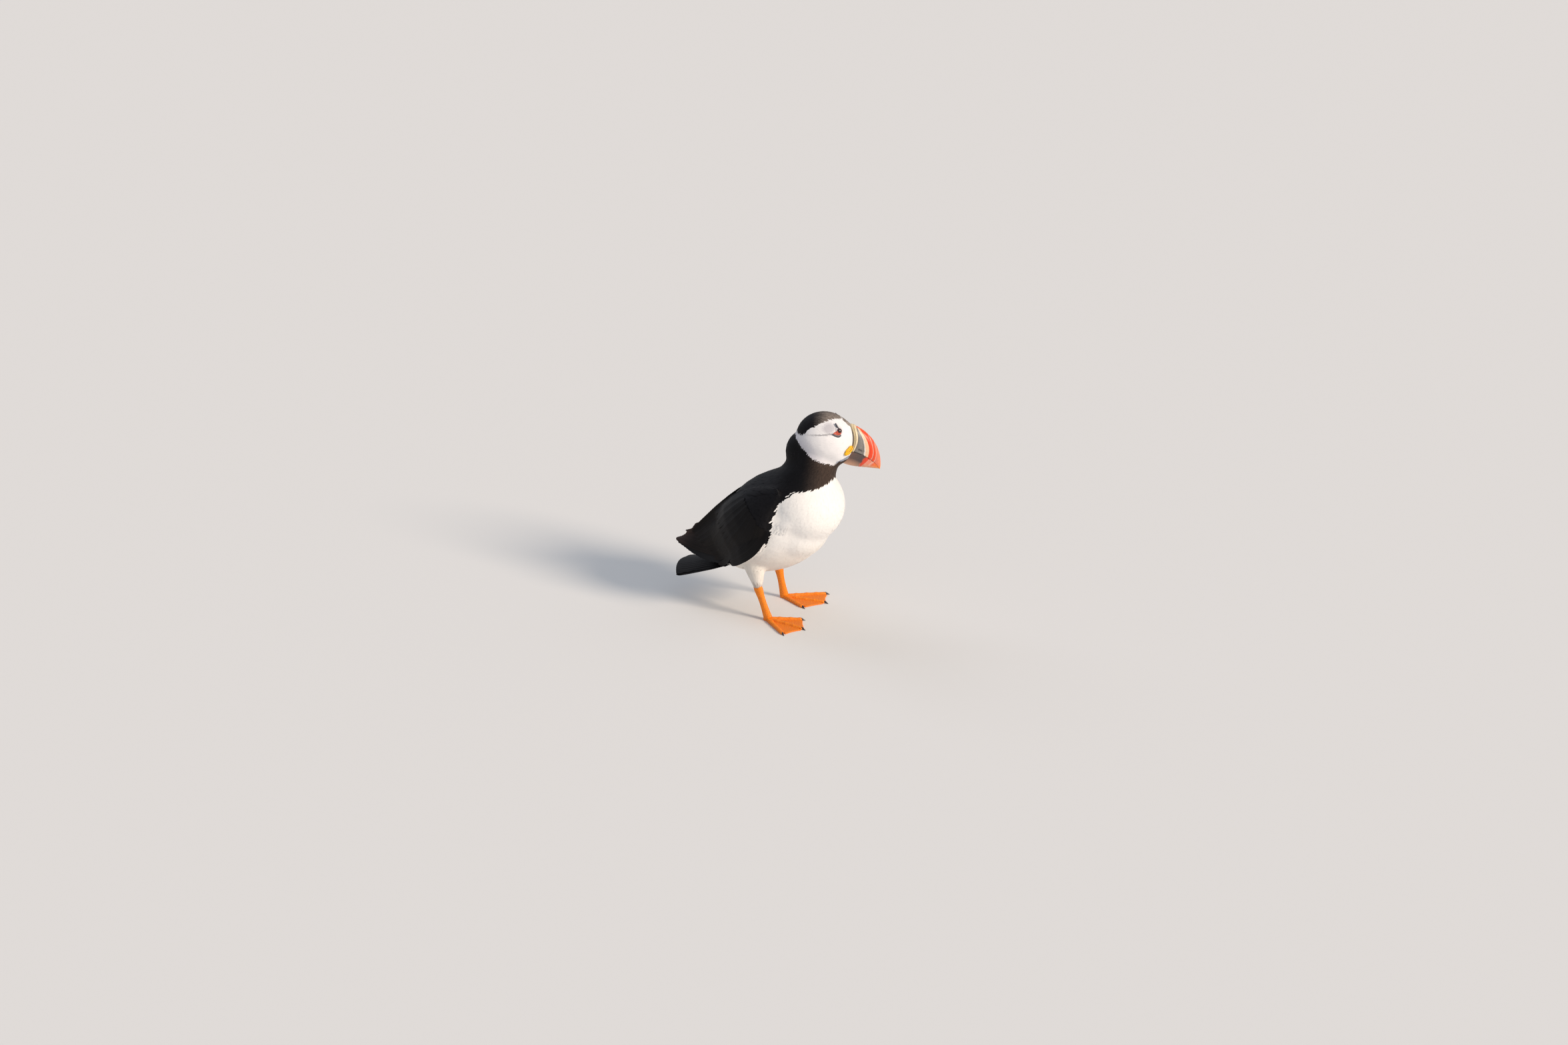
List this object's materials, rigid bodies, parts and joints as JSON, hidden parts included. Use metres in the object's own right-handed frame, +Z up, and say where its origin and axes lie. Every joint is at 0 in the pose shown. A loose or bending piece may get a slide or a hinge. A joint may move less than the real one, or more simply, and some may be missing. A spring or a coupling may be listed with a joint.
{
  "type": "standing atlantic puffin",
  "caption": "Life-size still model of a standing Atlantic puffin, head turned to its left, with a deep banded bill and webbed feet flat on the floor.",
  "frame": {"origin": "centre of the model's box, on the floor under the soles of the feet", "axes": "+Z up, the bird's body faces -Y, its right side is at -X and its left side at +X"},
  "size_m": [0.119, 0.1952, 0.2027],
  "materials": {
    "white_feathers": "matte",
    "black_feathers": "matte",
    "flight_feathers": "satin",
    "leg_skin": "satin",
    "claw_horn": "satin",
    "bill_horn": "satin",
    "lower_bill_horn": "satin",
    "bill_ridge": "matte",
    "eye": "gloss",
    "eye_ring_skin": "satin",
    "eye_plates": "matte",
    "rosette_skin": "satin"
  },
  "bodies": {
    "root": {"head": "white_feathers", "neck": "black_feathers", "trunk": "white_feathers", "tail": "flight_feathers", "wing_right": "flight_feathers", "wing_left": "flight_feathers", "thigh_right": "white_feathers", "thigh_left": "white_feathers", "shank_right": "leg_skin", "shank_left": "leg_skin", "foot_right": "leg_skin", "foot_left": "leg_skin", "claw_inner_right": "claw_horn", "claw_middle_right": "claw_horn", "claw_outer_right": "claw_horn", "claw_inner_left": "claw_horn", "claw_middle_left": "claw_horn", "claw_outer_left": "claw_horn", "bill_upper": "bill_horn", "bill_lower": "lower_bill_horn", "bill_ridge": "bill_ridge", "eye_right": "eye", "eye_left": "eye", "eye_ring_right": "eye_ring_skin", "eye_ring_left": "eye_ring_skin", "plate_above_eye_right": "eye_plates", "plate_above_eye_left": "eye_plates", "plate_below_eye_right": "eye_plates", "plate_below_eye_left": "eye_plates", "rosette_right": "rosette_skin", "rosette_left": "rosette_skin"}
  },
  "joints": []
}
